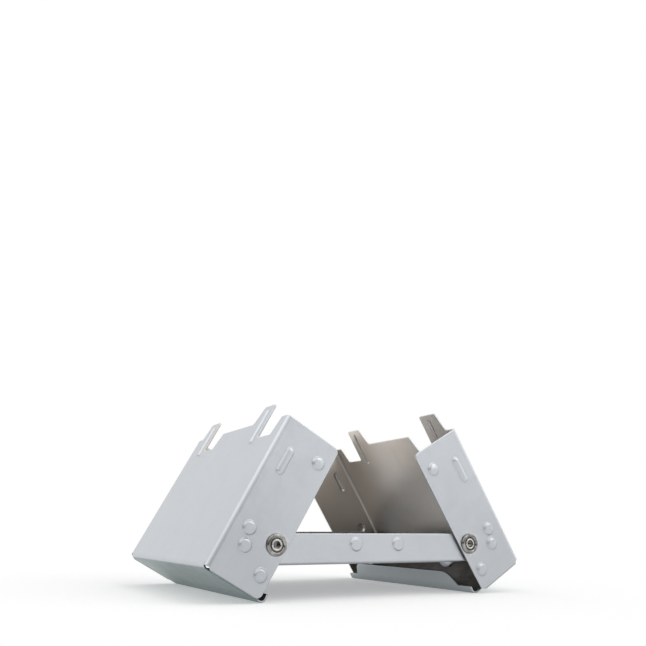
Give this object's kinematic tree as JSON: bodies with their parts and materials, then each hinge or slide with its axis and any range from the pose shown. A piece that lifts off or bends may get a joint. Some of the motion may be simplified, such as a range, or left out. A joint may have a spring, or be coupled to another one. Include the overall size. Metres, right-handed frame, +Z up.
{
  "type": "folding pocket stove",
  "caption": "Folding pressed-steel solid-fuel pocket stove: an open tray between pivoting wings whose toothed top edges carry a pot.",
  "frame": {"origin": "on the ground under the middle of the stove, in its cooking position", "axes": "+X from the left wing to the right wing, +Y to the rear along the pivots, +Z up"},
  "size_m": [0.1084, 0.0786, 0.0575],
  "materials": {
    "wing_steel": "satin zinc-coated sheet, light blue-grey, faintly mottled",
    "tray_steel": "satin zinc-coated sheet, light blue-grey, faintly mottled",
    "rivet_nickel": "bright nickel plate, dull in its grooves"
  },
  "bodies": {
    "tray": {"tray": "tray_steel", "rivet_front_left": "rivet_nickel", "rivet_front_right": "rivet_nickel", "rivet_rear_left": "rivet_nickel", "rivet_rear_right": "rivet_nickel"},
    "left_wing": {"left_wing": "wing_steel"},
    "right_wing": {"right_wing": "wing_steel"}
  },
  "joints": [
    {"name": "left_wing_fold", "type": "hinge", "parent": "tray", "child": "left_wing", "pos_m": [-0.0338, 0, 0.01536], "axis": [0, -1, 0], "range_deg": [-60, 30]},
    {"name": "right_wing_fold", "type": "hinge", "parent": "tray", "child": "right_wing", "pos_m": [0.0338, 0, 0.01536], "axis": [0, 1, 0], "range_deg": [-60, 30]}
  ]
}
